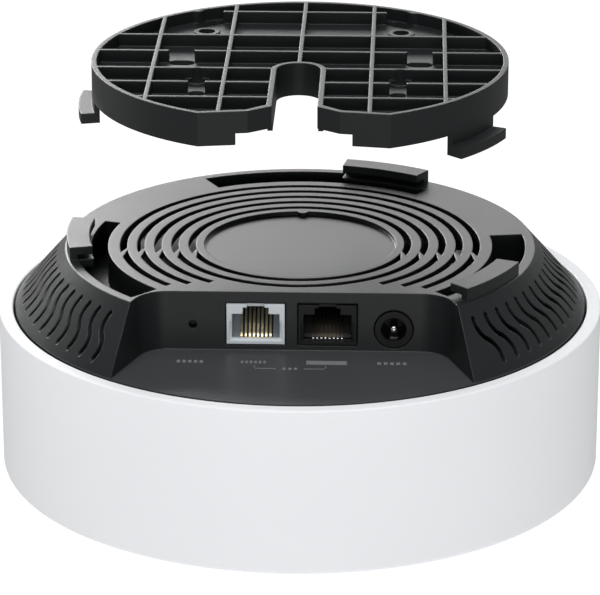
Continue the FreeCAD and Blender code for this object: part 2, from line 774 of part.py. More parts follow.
def jack_contacts(name, across):
    """Eight contact wires: each lies on the cavity floor at the front and rises towards the back."""
    wires = []
    for index in range(8):
        x = f"{across} + ({index} - 3.5) * contact_pitch"
        foot = block(f"{name}_foot_{index}", ("contact_width", 2.4, "contact_thickness"),
                     (x, f"{PORT_FACE} + 2.0", f"{BOARD_TOP} + 1"))
        rise = bind(doc.addObject("Part::Box", f"{name}_rise_{index}"), Length="contact_width",
                    Width="contact_rise", Height="contact_thickness")
        rise.Placement = FreeCAD.Placement(FreeCAD.Vector(), FreeCAD.Rotation(FreeCAD.Vector(1, 0, 0), 32))
        bind(rise, Placement__Base__x=f"{x} - contact_width / 2", Placement__Base__y=f"{PORT_FACE} + 1.0",
             Placement__Base__z=f"{BOARD_TOP} + 1")
        wires.append(fuse(f"{name}_wire_{index}", [foot, rise]))
    return group(name, wires)


def power_jack():
    """The power socket: a case with a round nose, its centre pin and the leaf that grips the plug."""
    level = f"{BOARD_TOP} + power_lift"
    nose = bore("power_nose", "power_ring", "recess_wall + nose_reach", ("power_x", PORT_FACE, level))
    case = block("power_case", ("2 * power_ring - 0.3", 11, "power_lift + power_ring - 0.3"),
                 ("power_x", f"{PORT_FACE} + recess_wall + nose_reach + 5.5", BOARD_TOP))
    hollow = bore("power_hollow", "power_bore", 10.5, ("power_x", f"{PORT_FACE} - 0.5", level))
    leaf_size = (1.8, 6.0, 0.4)
    leaf_at = ("power_x", f"{PORT_FACE} + 6", f"{level} - power_bore - 0.2")
    trench = block("power_trench", leaf_size, leaf_at)
    body = cut("power_jack_body", fuse("power_solid", [nose, case]), [hollow, trench])
    pin = bore("power_pin_shaft", "power_pin", 9.3, ("power_x", f"{PORT_FACE} + 0.7", level))
    pin_tip = doc.addObject("Part::Sphere", "power_pin_tip")
    bind(pin_tip, Radius="power_pin", Placement__Base__x="power_x", Placement__Base__y=f"{PORT_FACE} + 0.7",
         Placement__Base__z=level)
    return [body, fuse("power_jack_pin", [pin, pin_tip]), block("power_jack_spring", leaf_size, leaf_at)]


def reset_switch():
    """A side-pressed tact switch standing behind its pin hole; the button slides in along +Y."""
    level = f"{BOARD_TOP} + reset_lift"
    front = f"({PORT_FACE} + recess_wall + 1.9)"
    case = block("reset_case", (6.0, 3.4, "reset_lift + 2.6"), ("reset_x", f"{front} + 1.7", BOARD_TOP))
    guide = bore("reset_guide", "0.9 + 0.05", 3.0, ("reset_x", f"{front} - 0.5", level))
    body = cut("reset_switch_body", case, [guide])
    stem = bore("reset_stem", 0.9, "1.1 + 1.9", ("reset_x", f"{front} - 1.1", level))
    stem.Label = "reset_button"
    return [body, stem]


# ---- board and what stands on it ---------------------------------------------------------------

def main_board():
    disc = cylinder("board_disc", "board_radius", "board_thickness", (0, 0, RIM))
    recess = recess_volume("board_recess", value("recess_wall + board_gap"), f"{RIM} - 1",
                           "board_thickness + 2", False)
    tools = [recess]
    for index, angle in enumerate(BOARD_SCREWS):
        tools.append(cylinder(f"board_hole_{index}", "screw_radius + 0.2", "board_thickness + 2",
                              polar("boss_circle", angle, f"{RIM} - 1")))
    for index, angle in enumerate(CARRIER_SCREWS):
        tools.append(cylinder(f"board_pass_{index}", "carrier_boss + board_gap", "board_thickness + 2",
                              polar("carrier_boss_circle", angle, f"{RIM} - 1")))
    tools.append(bore("board_nose", "power_ring + board_gap / 2",
                      "recess_wall + nose_reach + board_gap / 4",
                      ("power_x", PORT_FACE, f"{BOARD_TOP} + power_lift")))
    return cut("main_board", disc, tools)


def board_top_parts():
    """Filters, converter, coils and chips on the top of the board."""
    made = []
    for index, x in enumerate(("light_jack_x", "dark_jack_x"), 1):
        made.append(block(f"network_filter_{index}", (15.0, 8.0, 6.0), (x, -13.0, BOARD_TOP)))
    made.append(block("converter_transformer", (13.0, 11.0, 9.0), (26.0, -12.0, BOARD_TOP)))
    for index, (x, y) in enumerate(((-28, -14), (-28, -4)), 1):
        made.append(block(f"power_coil_{index}", (7.0, 7.0, 4.0), (x, y, BOARD_TOP)))
    for index, (x, y) in enumerate(((-6, 4), (8, 4)), 1):
        made.append(block(f"memory_chip_{index}", (9.0, 12.0, 1.1), (x, y, BOARD_TOP)))
    return made


def capacitors():
    """Upright round capacitors, each with the rolled groove near its foot."""
    made = []
    for index, (x, y) in enumerate(((40, -14), (40, -4), (40, 6)), 1):
        body = turned(f"capacitor_turned_{index}", [
            (0, 0), (4.0, 0), (4.0, 0.9), (3.7, 1.2), (3.7, 1.6), (4.0, 1.9), (4.0, 8.0), (3.6, 8.4),
            (0, 8.4),
        ])
        place(body, (x, y, BOARD_TOP))
        body.Label = f"power_capacitor_{index}"
        made.append(body)
    return made


CANS = {
    "processor": {"x": 0, "y": -16, "size": (26, 22), "chip": 17},
    "radio_low": {"x": -22, "y": 10, "size": (26, 22), "chip": 11},
    "radio_high": {"x": 22, "y": 10, "size": (26, 22), "chip": 11},
}


def cans():
    """Chips under the board, each with its pad, screening can and the pad to the heat spreader."""
    made = []
    for name, can in CANS.items():
        x, y, (width, length), chip = can["x"], can["y"], can["size"], can["chip"]
        shell = block(f"{name}_can_outer", (width, length, "can_height"), (x, y, CAN_BASE))
        room = block(f"{name}_can_room", (f"{width} - 2 * can_wall", f"{length} - 2 * can_wall",
                                          "can_height"), (x, y, f"{CAN_BASE} + can_wall"))
        made.append(cut(f"{name}_can", shell, [room]))
        made.append(block(f"{name}_chip", (chip, chip, "chip_height"), (x, y, f"{RIM} - chip_height")))
        pad_size = (f"{chip} - 1", f"{chip} - 1", "can_height - can_wall - chip_height")
        made.append(block(f"{name}_chip_pad", pad_size, (x, y, f"{CAN_BASE} + can_wall")))
        made.append(block(f"{name}_spreader_pad", (f"{width} - 4", f"{length} - 4", "pad_thickness"),
                          (x, y, SPREADER_TOP)))
    return made


def heat_spreader():
    """A round aluminium plate with straight fins below and a hole for the light pipe."""
    plate = cylinder("spreader_plate", "spreader_radius", "spreader_thickness", (0, 0, SPREADER_BASE))
    front = block("spreader_front", ("2 * spreader_radius", 30, 20),
                  (0, "-recess_back - 13", f"{SPREADER_BASE} - 10"))
    fins = []
    for index in range(-5, 6):
        fins.append(block(f"fin_{index + 5}", ("fin_thickness", "2 * spreader_radius", "fin_height + 0.5"),
                          (f"({index} + 0.5) * fin_pitch", 0, f"{SPREADER_BASE} - fin_height")))
    inside = cylinder("fin_limit", "spreader_radius", "fin_height + 0.5",
                      (0, 0, f"{SPREADER_BASE} - fin_height"))
    trimmed = common("spreader_fins", fuse("fins", fins), inside)
    hole = cylinder("spreader_hole", "lens_radius + 1", 20, (0, 0, f"{SPREADER_BASE} - 10"))
    return cut("heat_spreader", fuse("spreader_solid", [plate, trimmed]), [hole, front])


# ---- status light ------------------------------------------------------------------------------

def status_light():
    """Light source under the board, the pipe with its round guide behind the drum's floor, and the lens."""
    source = block("status_led", (3.2, 2.8, 1.0), (0, 0, f"{RIM} - 1.0"))
    pipe_top = f"({RIM} - 1.0 - running_gap)"
    lens_top = f"({DRUM_BASE} + drum_floor + 1.0)"
    guide_base = f"({lens_top} + running_gap)"
    guide_top = f"({guide_base} + guide_thickness)"
    pipe = turned("light_pipe", [
        (0, guide_base),
        ("guide_radius", guide_base),
        ("guide_radius", guide_top),
        ("light_radius", guide_top),
        ("light_radius", f"{pipe_top} - 1.0"),
        ("light_radius - 0.6", pipe_top),
        (0, pipe_top),
    ])
    lens = turned("status_lens", [
        (0, DRUM_BASE),
        ("lens_radius - 0.3", DRUM_BASE),
        ("lens_radius", f"{DRUM_BASE} + 0.3"),
        ("lens_radius", lens_top),
        (0, lens_top),
    ])
    return [source, pipe, lens]


# ---- antennas and their carrier ----------------------------------------------------------------

ANTENNAS = {
    "antenna_low_1": {"angle": 45, "size": (12, 26)},
    "antenna_high_1": {"angle": 135, "size": (9, 16)},
    "antenna_low_2": {"angle": 200, "size": (12, 26)},
    "antenna_high_2": {"angle": 340, "size": (9, 16)},
}


def antenna_carrier():
    """A dished plastic carrier inside the skirt: it bears on the board's edge and holds the antennas."""
    floor = cylinder("carrier_floor_disc", "carrier_radius", "carrier_floor", (0, 0, CARRIER_BASE))
    wall = ring("carrier_wall_ring", "carrier_radius - carrier_wall", "carrier_radius", CARRIER_BASE,
                "carrier_drop + carrier_floor")
    posts, holes = [], []
    post_height = "carrier_drop - carrier_boss_drop"
    for index, angle in enumerate(CARRIER_SCREWS):
        posts.append(cylinder(f"carrier_post_{index}", "carrier_boss", post_height,
                              polar("carrier_boss_circle", angle, CARRIER_TOP)))
        holes.append(cylinder(f"carrier_hole_{index}", "screw_radius + 0.1", "carrier_drop + 5",
                              polar("carrier_boss_circle", angle, f"{CARRIER_BASE} - 1")))
        holes.append(cylinder(f"carrier_sink_{index}", "head_radius + 0.2", "carrier_drop - 6",
                              polar("carrier_boss_circle", angle, f"{CARRIER_BASE} - 1")))
    for index, antenna in enumerate(ANTENNAS.values()):
        holes.append(cylinder(f"lead_hole_{index}", "lead_radius + 0.5", "carrier_floor + 2",
                              polar("antenna_circle", antenna["angle"], f"{CARRIER_BASE} - 1")))
    holes.append(cylinder("carrier_light_hole", "lens_radius + 1", "carrier_floor + 2",
                          (0, 0, f"{CARRIER_BASE} - 1")))
    holes.append(recess_volume("carrier_recess", value("recess_wall + board_gap"),
                               f"{RIM} - recess_floor - running_gap", "recess_floor + 5", False))
    return cut("antenna_carrier", fuse("carrier_solid", [floor, wall] + posts), holes)


def antennas():
    """Folded sheet-metal antennas under the carrier, each with its lead up to a board connector."""
    made = []
    for index, (name, antenna) in enumerate(ANTENNAS.items(), 1):
        angle, (width, length) = antenna["angle"], antenna["size"]
        sheet_size = "antenna_sheet"
        foot_reach, drop = 6.0, 6.0
        foot_radius = "antenna_circle"
        foot = block(f"{name}_foot", (foot_reach, width, sheet_size),
                     polar(foot_radius, angle, f"{CARRIER_BASE} - antenna_sheet"), angle)
        riser = block(f"{name}_riser", (sheet_size, width, drop),
                      polar(f"{foot_radius} - {foot_reach / 2} + antenna_sheet / 2", angle,
                            f"{CARRIER_BASE} - {drop}"), angle)
        plate = block(f"{name}_plate", (length, width, sheet_size),
                      polar(f"{foot_radius} - {foot_reach / 2} - {length / 2} + antenna_sheet", angle,
                            f"{CARRIER_BASE} - {drop}"), angle)
        made.append(fuse(name, [foot, riser, plate]))
        connector = cylinder(f"lead_connector_{index}", 1.4, 1.2, polar(foot_radius, angle, f"{RIM} - 1.2"))
        lead = cylinder(f"antenna_lead_{index}", "lead_radius", "carrier_drop + carrier_floor - 1.2",
                        polar(foot_radius, angle, CARRIER_BASE))
        made += [connector, lead]
    return made


# ---- screws ------------------------------------------------------------------------------------

def screw_stack(name, circle, angles, head_level, shank):
    """Pan-head screws pointing up, all in one group: each has a cross slot in its head."""
    screws = []
    for index, angle in enumerate(angles):
        at = polar(circle, angle, f"{head_level} - head_height")
        head = cylinder(f"{name}_head_{index}", "head_radius", "head_height", at)
        stem = cylinder(f"{name}_stem_{index}", "screw_radius", f"head_height + {shank}", at)
        low = polar(circle, angle, f"{head_level} - head_height - 1")
        cross = [block(f"{name}_cross_{index}_{turn}", (3.0, 0.6, "1 + head_height / 2"), low, turn)
                 for turn in (0, 90)]
        screws.append(cut(f"{name}_{index}", fuse(f"{name}_solid_{index}", [head, stem]), cross))
    return group(name, screws)


# ---- the whole model ---------------------------------------------------------------------------

def build():
    nodes = [bracket_plate(), front_cover(), back_cover(), main_board()]
    for name in ("light_jack", "dark_jack"):
        nodes.append(jack_shell(name, f"{name}_x"))
        nodes.append(jack_contacts(f"{name}_contacts", f"{name}_x"))
    nodes += power_jack() + reset_switch() + board_top_parts() + capacitors() + cans()
    nodes += [heat_spreader(), antenna_carrier()] + status_light() + antennas()
    nodes.append(screw_stack("board_screws", "boss_circle", BOARD_SCREWS, RIM, SCREW_LENGTH))
    nodes.append(screw_stack("carrier_screws", "carrier_boss_circle", CARRIER_SCREWS,
                             f"({RIM} - carrier_floor - carrier_seat)",
                             "(carrier_floor + carrier_seat + carrier_pilot_rise - 1)"))
    return nodes


def check_and_write(nodes):
    """Stops if any object failed, then writes each piece to its own file."""
    doc.recompute()
    failed = [item.Name for item in doc.Objects if "Invalid" in item.State or "Error" in item.State]
    bad = [item.Label for item in nodes if item.Shape.isNull() or not item.Shape.isValid()]
    if failed or bad:
        raise SystemExit(f"failed objects {failed}, bad shapes {bad}")
    os.makedirs("parts", exist_ok=True)
    for item in nodes:
        item.Shape.exportStep(f"parts/{item.Label}.step")
        print(item.Label, len(item.Shape.Solids), "solid(s)", round(item.Shape.Volume, 1), "mm3")


check_and_write(build())
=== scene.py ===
import json
import math

import bmesh
import bpy
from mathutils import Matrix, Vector


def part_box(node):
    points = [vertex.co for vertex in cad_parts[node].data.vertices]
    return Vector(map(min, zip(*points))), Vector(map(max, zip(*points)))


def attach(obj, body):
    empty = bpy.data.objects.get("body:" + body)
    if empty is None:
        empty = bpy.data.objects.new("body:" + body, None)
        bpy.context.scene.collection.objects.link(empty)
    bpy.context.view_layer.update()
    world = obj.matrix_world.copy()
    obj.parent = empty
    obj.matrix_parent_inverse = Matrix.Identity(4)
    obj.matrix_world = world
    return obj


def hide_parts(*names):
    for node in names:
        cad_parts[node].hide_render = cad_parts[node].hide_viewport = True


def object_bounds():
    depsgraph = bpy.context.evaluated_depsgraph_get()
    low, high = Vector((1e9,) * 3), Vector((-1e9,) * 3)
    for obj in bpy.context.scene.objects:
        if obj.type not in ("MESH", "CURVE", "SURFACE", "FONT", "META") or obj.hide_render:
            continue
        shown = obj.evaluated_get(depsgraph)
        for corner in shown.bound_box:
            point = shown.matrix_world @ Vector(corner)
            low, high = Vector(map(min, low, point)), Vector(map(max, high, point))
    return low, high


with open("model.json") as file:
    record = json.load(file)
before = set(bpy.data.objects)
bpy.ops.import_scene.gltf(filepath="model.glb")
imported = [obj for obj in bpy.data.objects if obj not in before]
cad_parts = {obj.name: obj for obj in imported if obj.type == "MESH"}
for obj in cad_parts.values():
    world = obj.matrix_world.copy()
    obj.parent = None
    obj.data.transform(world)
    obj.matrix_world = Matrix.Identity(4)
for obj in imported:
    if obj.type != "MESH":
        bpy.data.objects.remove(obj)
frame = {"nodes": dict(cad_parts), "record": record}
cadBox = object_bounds()
mm = 0.001
print("frame loaded:", len(frame["nodes"]), "nodes")


# colours are typed as sRGB hex and turned to linear here
def toLinear(hexColour):
    channels = [int(hexColour[at:at + 2], 16) / 255 for at in (1, 3, 5)]
    linear = [c / 12.92 if c <= 0.04045 else ((c + 0.055) / 1.055) ** 2.4 for c in channels]
    return (*linear, 1.0)


# adds a node, sets its sockets or properties, and links other nodes' outputs into it
def addNode(material, kind, settings=None, links=None):
    tree = material.node_tree
    node = tree.nodes.new(kind)
    for key, setting in (settings or {}).items():
        if isinstance(key, int) or key in node.inputs:
            node.inputs[key].default_value = setting
        else:
            setattr(node, key, setting)
    for key, output in (links or {}).items():
        tree.links.new(output, node.inputs[key])
    return node


def startMaterial(name, shaderSettings):
    material = bpy.data.materials.new(name)
    material.use_nodes = True
    shader = material.node_tree.nodes["Principled BSDF"]
    for key, setting in shaderSettings.items():
        shader.inputs[key].default_value = setting
    return material, shader


# The plastics share one build: a mottled colour, uneven gloss and a fine grain in relief.
def mouldedPlastic(name, look):
    settings = {"IOR": look["ior"], "Specular IOR Level": look["specular"]}
    material, shader = startMaterial(name, settings)
    tree = material.node_tree
    place = addNode(material, "ShaderNodeTexCoord")
    cloud = addNode(
        material, "ShaderNodeTexNoise",
        {"Scale": 1 / (look["cloudMm"] * mm), "Detail": 3.0},
        {"Vector": place.outputs["Object"]},
    )
    tint = addNode(
        material, "ShaderNodeMix",
        {"data_type": "RGBA", 6: toLinear(look["dark"]), 7: toLinear(look["light"])},
        {0: cloud.outputs["Fac"]},
    )
    gloss = addNode(
        material, "ShaderNodeMapRange",
        {
            "To Min": look["roughness"] - look["unevenness"],
            "To Max": look["roughness"] + look["unevenness"],
        },
        {"Value": cloud.outputs["Fac"]},
    )
    grain = addNode(
        material, "ShaderNodeTexNoise",
        {"Scale": 1 / (look["grainMm"] * mm), "Detail": 2.0, "Roughness": 0.6},
        {"Vector": place.outputs["Object"]},
    )
    edge = addNode(material, "ShaderNodeBevel", {"samples": 6, "Radius": look["edgeMm"] * mm})
    relief = addNode(
        material, "ShaderNodeBump",
        {"Strength": look["relief"], "Distance": look["grainMm"] * mm},
        {"Height": grain.outputs["Fac"], "Normal": edge.outputs["Normal"]},
    )
    tree.links.new(tint.outputs[2], shader.inputs["Base Color"])
    tree.links.new(gloss.outputs["Result"], shader.inputs["Roughness"])
    tree.links.new(relief.outputs["Normal"], shader.inputs["Normal"])
    return material


# Spark-textured ABS, moulded: soft charcoal with a satin sheen that only shows at a low angle.
coverLook = {
    "dark": "#1c1f20", "light": "#1f2223", "cloudMm": 18.0,
    "ior": 1.5, "specular": 0.3, "roughness": 0.36, "unevenness": 0.03,
    "grainMm": 0.22, "relief": 0.12, "edgeMm": 0.45,
}
coverAbs = mouldedPlastic("charcoalSparkTexturedAbs", coverLook)



# Painted light: the recess floor takes a paler tone than the rest of the cover, standing in for the
# light that falls on it.
# Whatever lies at the rim's level, which is that floor, takes the paler lit tone.
litRecessFloorLook = {"litTone": "#414344", "bandMm": 0.15}


def paintLightOnRecessFloor(material, level, look):
    tree = material.node_tree
    shader = tree.nodes["Principled BSDF"]
    tint = shader.inputs["Base Color"].links[0].from_socket
    place = addNode(material, "ShaderNodeTexCoord")
    split = addNode(material, "ShaderNodeSeparateXYZ", {}, {0: place.outputs["Object"]})
    atLevel = addNode(
        material, "ShaderNodeMath",
        {"operation": "COMPARE", 1: level, 2: look["bandMm"] * mm},
        {0: split.outputs["Z"]},
    )
    # painted light: the paler lit tone is mixed over the cover's colour at the floor's level
    blend = addNode(
        material, "ShaderNodeMix",
        {"data_type": "RGBA", 7: toLinear(look["litTone"])},
        {0: atLevel.outputs[0], 6: tint},
    )
    tree.links.new(blend.outputs[2], shader.inputs["Base Color"])


paintLightOnRecessFloor(coverAbs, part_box("front_cover")[1].z, litRecessFloorLook)

# The same ABS off the plainer bracket tool: a touch drier, with a slightly coarser grain.
bracketLook = {**coverLook, "roughness": 0.45, "grainMm": 0.3, "relief": 0.15}
bracketAbs = mouldedPlastic("charcoalBracketAbs", bracketLook)

# Satin white ABS: cool white, smooth, with a broad weak highlight.
drumLook = {
    "dark": "#edeff2", "light": "#f2f3f6", "cloudMm": 30.0,
    "ior": 1.5, "specular": 0.4, "roughness": 0.5, "unevenness": 0.02,
    "grainMm": 0.35, "relief": 0.03, "edgeMm": 0.3,
}
drumAbs = mouldedPlastic("satinWhiteAbs", drumLook)

# Nylon jack housings: slightly waxy, glossier than the covers.
lightNylonLook = {
    "dark": "#dbe3e8", "light": "#e9eff3", "cloudMm": 6.0,
    "ior": 1.53, "specular": 0.5, "roughness": 0.35, "unevenness": 0.04,
    "grainMm": 0.2, "relief": 0.05, "edgeMm": 0.12,
}
lightNylon = mouldedPlastic("coolWhiteNylon", lightNylonLook)
darkNylonLook = {
    **lightNylonLook, "dark": "#111111", "light": "#171716", "specular": 0.3, "roughness": 0.4,
}
darkNylon = mouldedPlastic("blackNylon", darkNylonLook)

# Natural ABS of the hidden carriers: warm off-white, plain.
carrierLook = {**drumLook, "dark": "#b9b7ae", "light": "#c6c4bb", "roughness": 0.55}
carrierAbs = mouldedPlastic("naturalAbs", carrierLook)

# Glass-filled epoxy of the chips: near black and dry.
epoxyLook = {
    **darkNylonLook, "dark": "#1b1b1c", "light": "#232324", "roughness": 0.6, "relief": 0.2,
}
epoxyMoulding = mouldedPlastic("chipEpoxy", epoxyLook)

# Silicone pad: putty grey, soft and matt.
padLook = {**carrierLook, "dark": "#8d9298", "light": "#9aa0a6", "roughness": 0.8, "relief": 0.25}
siliconePad = mouldedPlastic("siliconePad", padLook)

# Extruded jacket of the aerial leads: smooth grey, slightly glossy.
jacketLook = {
    **carrierLook, "dark": "#5d6064", "light": "#6b6e72", "roughness": 0.35, "relief": 0.03,
}
leadJacket = mouldedPlastic("extrudedJacket", jacketLook)


# The metals share one build: fine streaks in the gloss, faint relief, and a touch of dulling.
def metal(name, look):
    material, shader = startMaterial(name, {"Metallic": 1.0})
    tree = material.node_tree
    place = addNode(material, "ShaderNodeTexCoord")
    stretch = addNode(
        material, "ShaderNodeMapping",
        {"Scale": look["streak"]},
        {"Vector": place.outputs["Object"]},
    )
    streaks = addNode(
        material, "ShaderNodeTexNoise",
        {"Scale": 1 / (look["grainMm"] * mm), "Detail": 4.0},
        {"Vector": stretch.outputs["Vector"]},
    )
    tint = addNode(
        material, "ShaderNodeMix",
        {"data_type": "RGBA", 6: toLinear(look["dark"]), 7: toLinear(look["light"])},
        {0: streaks.outputs["Fac"]},
    )
    gloss = addNode(
        material, "ShaderNodeMapRange",
        {
            "To Min": look["roughness"] - look["unevenness"],
            "To Max": look["roughness"] + look["unevenness"],
        },
        {"Value": streaks.outputs["Fac"]},
    )
    relief = addNode(
        material, "ShaderNodeBump",
        {"Strength": look["relief"], "Distance": look["grainMm"] * mm},
        {"Height": streaks.outputs["Fac"]},
    )
    tree.links.new(tint.outputs[2], shader.inputs["Base Color"])
    tree.links.new(gloss.outputs["Result"], shader.inputs["Roughness"])
    tree.links.new(relief.outputs["Normal"], shader.inputs["Normal"])
    return material


# Gold flash over nickel on phosphor bronze: pale gold, bright only along the wire.
goldLook = {
    "dark": "#a8987a", "light": "#cdbd9c", "grainMm": 0.3, "streak": (4.0, 1.0, 1.0),
    "roughness": 0.28, "unevenness": 0.06, "relief": 0.05,
}
goldFlash = metal("goldFlashOverNickel", goldLook)

# The same flash deep in the dark jack, where only the tips catch light.
shadedGoldLook = {**goldLook, "dark": "#2f2a22", "light": "#3c352a", "roughness": 0.4}
shadedGold = metal("shadedGoldFlash", shadedGoldLook)

# Bright nickel plate of the power pin: hard white highlights. It is also used as a painted
# highlight on the dark jack's contact tips.
nickelLook = {**goldLook, "dark": "#b9bcc0", "light": "#d6d8da", "roughness": 0.18}
nickelPlate = metal("brightNickelPlate", nickelLook)

# Tinned steel of the shielding cans: mid grey with a dull mottled bloom.
tinLook = {
    "dark": "#a9abad", "light": "#c3c5c7", "grainMm": 1.2, "streak": (1.0, 1.0, 1.0),
    "roughness": 0.38, "unevenness": 0.08, "relief": 0.04,
}
tinnedSteel = metal("tinnedSteel", tinLook)

# Die-cast aluminium spreader: greyer and rougher.
castLook = {
    **tinLook, "dark": "#9b9d9f", "light": "#b3b5b7",
    "grainMm": 0.8, "roughness": 0.5, "relief": 0.2,
}
castAluminium = metal("dieCastAluminium", castLook)

# Zinc-plated screws: bluish grey, bright.
zincLook = {**tinLook, "dark": "#a7aeb6", "light": "#c6ccd2", "grainMm": 0.4, "roughness": 0.3}
zincPlate = metal("zincPlatedSteel", zincLook)

# Rolled brass of the aerials: warm yellow with rolling streaks.
brassLook = {
    **goldLook, "dark": "#b08d4c", "light": "#cfae6e", "streak": (1.0, 6.0, 1.0), "roughness": 0.32,
}
rolledBrass = metal("rolledBrass", brassLook)


# Glass-epoxy board under blue-black solder mask: a faint woven relief and a cloudy tint.
boardLook = {
    "dark": "#12303a", "light": "#18404c", "cloudMm": 7.0, "ior": 1.55,
    "weaveMm": 0.9, "weaveWobble": 0.4, "weaveDeepMm": 0.05, "roughness": 0.3, "relief": 0.1,
}


def solderMask(look):
    settings = {"IOR": look["ior"], "Roughness": look["roughness"]}
    material, shader = startMaterial("solderMaskOnGlassEpoxy", settings)
    tree = material.node_tree
    place = addNode(material, "ShaderNodeTexCoord")
    weave = addNode(
        material, "ShaderNodeTexWave",
        {"Scale": 1 / (look["weaveMm"] * mm), "Distortion": look["weaveWobble"]},
        {"Vector": place.outputs["Object"]},
    )
    cloud = addNode(
        material, "ShaderNodeTexNoise",
        {"Scale": 1 / (look["cloudMm"] * mm), "Detail": 4.0},
        {"Vector": place.outputs["Object"]},
    )
    tint = addNode(
        material, "ShaderNodeMix",
        {"data_type": "RGBA", 6: toLinear(look["dark"]), 7: toLinear(look["light"])},
        {0: cloud.outputs["Fac"]},
    )
    relief = addNode(
        material, "ShaderNodeBump",
        {"Strength": look["relief"], "Distance": look["weaveDeepMm"] * mm},
        {"Height": weave.outputs["Fac"]},
    )
    tree.links.new(tint.outputs[2], shader.inputs["Base Color"])
    tree.links.new(relief.outputs["Normal"], shader.inputs["Normal"])
    return material


boardMask = solderMask(boardLook)


# Diffusing polycarbonate of the light pipe and lens, moulded: milky inside with a glossy skin.
clearLook = {
    "dark": "#d5dde4", "light": "#e9eef2", "hazeMm": 0.6,
    "ior": 1.585, "roughness": 0.12, "transmission": 0.6,
}


def clearPolycarbonate(look):
    settings = {
        "IOR": look["ior"], "Roughness": look["roughness"],
        "Transmission Weight": look["transmission"],
    }
    material, shader = startMaterial("diffusingPolycarbonate", settings)
    tree = material.node_tree
    place = addNode(material, "ShaderNodeTexCoord")
    haze = addNode(
        material, "ShaderNodeTexNoise",
        {"Scale": 1 / (look["hazeMm"] * mm), "Detail": 2.0},
        {"Vector": place.outputs["Object"]},
    )
    tint = addNode(
        material, "ShaderNodeMix",
        {"data_type": "RGBA", 6: toLinear(look["dark"]), 7: toLinear(look["light"])},
        {0: haze.outputs["Fac"]},
    )
    tree.links.new(tint.outputs[2], shader.inputs["Base Color"])
    return material


clearPc = clearPolycarbonate(clearLook)

# Shaded nylon deep in the light jack: a greyer tongue behind the wires.
shadedNylonLook = {**lightNylonLook, "dark": "#7b8287", "light": "#8a9297", "roughness": 0.45}
shadedNylon = mouldedPlastic("shadedNylon", shadedNylonLook)

# Screen-printed ink: flat light grey with a slightly ragged film.
inkLook = {
    **drumLook, "dark": "#707375", "light": "#7b7e80",
    "roughness": 0.6, "grainMm": 0.12, "relief": 0.1,
}
printedInk = mouldedPlastic("screenPrintedInk", inkLook)
print("materials made:", len(bpy.data.materials))


# which finish each of the frame's material slots gets
slotFinish = {
    "bracket_abs": bracketAbs,
    "white_abs": drumAbs,
    "black_abs": coverAbs,
    "board": boardMask,
    "light_nylon": lightNylon,
    "dark_nylon": darkNylon,
    "gold_contact": goldFlash,
    "nickel_pin": nickelPlate,
    "epoxy": epoxyMoulding,
    "can_aluminium": castAluminium,
    "carrier_abs": carrierAbs,
    "led": clearPc,
    "clear_pc": clearPc,
    "screw_steel": zincPlate,
    "tin_can": tinnedSteel,
    "thermal_pad": siliconePad,
    "antenna_brass": rolledBrass,
    "lead_jacket": leadJacket,
}


for part in frame["record"]["subparts"]:
    slots = frame["nodes"][part["node"]].data.materials
    slots.clear()
    slots.append(slotFinish[part["material_slot"]])
print("finishes given:", len(frame["nodes"]))


# rounds each corner of a closed half section; a corner is (radius, height, rounding)
def roundedSection(corners, steps):
    points = []
    for index, (radius, height, rounding) in enumerate(corners):
        here = Vector((radius, height))
        before = Vector(corners[index - 1][:2])
        after = Vector(corners[(index + 1) % len(corners)][:2])
        if rounding == 0:
            points.append(here)
            continue
        toBefore, toAfter = (before - here).normalized(), (after - here).normalized()
        halfAngle = toBefore.angle(toAfter) / 2
        centre = here + (toBefore + toAfter).normalized() * rounding / math.sin(halfAngle)
        start = here + toBefore * rounding / math.tan(halfAngle) - centre
        sweep = start.angle_signed(here + toAfter * rounding / math.tan(halfAngle) - centre)
        for step in range(steps + 1):
            turn = -sweep * step / steps
            spin = Vector((
                start.x * math.cos(turn) - start.y * math.sin(turn),
                start.x * math.sin(turn) + start.y * math.cos(turn),
            ))
            points.append(centre + spin)
    return points


# spins a closed half section about the Z axis
def turnedMesh(name, section, segments):
    mesh = bpy.data.meshes.new(name)
    vertices = [
        (r * math.cos(2 * math.pi * s / segments), r * math.sin(2 * math.pi * s / segments), z)
        for s in range(segments) for r, z in section
    ]
    count = len(section)
    faces = []
    for s in range(segments):
        ahead = (s + 1) % segments
        for index in range(count):
            following = (index + 1) % count
            faces.append((
                s * count + index, ahead * count + index,
                ahead * count + following, s * count + following,
            ))
    mesh.from_pydata(vertices, [], faces)
    return finishMesh(name, mesh)


# consistent outward faces, smooth shading, and creases kept sharp
def finishMesh(name, mesh, crease=35):
    shaper = bmesh.new()
    shaper.from_mesh(mesh)
    bmesh.ops.recalc_face_normals(shaper, faces=shaper.faces)
    shaper.to_mesh(mesh)
    shaper.free()
    mesh.polygons.foreach_set("use_smooth", [True] * len(mesh.polygons))
    mesh.set_sharp_from_angle(angle=math.radians(crease))
    piece = bpy.data.objects.new(name, mesh)
    bpy.context.scene.collection.objects.link(piece)
    return piece


def finishPiece(piece, material, body):
    piece.data.materials.clear()
    piece.data.materials.append(material)
    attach(piece, body)


drumCover = {
    "segments": 288,
    "cornerSteps": 8,
    "wall": 2.4 * mm,
    "floor": 2.6 * mm,
    "rimWidth": 3.55 * mm,
    "lip": 2.5 * mm,
    "lightHole": 3.35 * mm,
    "bottomRound": 2.0 * mm,
    "rimRound": 0.45 * mm,
    "holeRound": 0.3 * mm,
    "innerRound": 1.0 * mm,
}


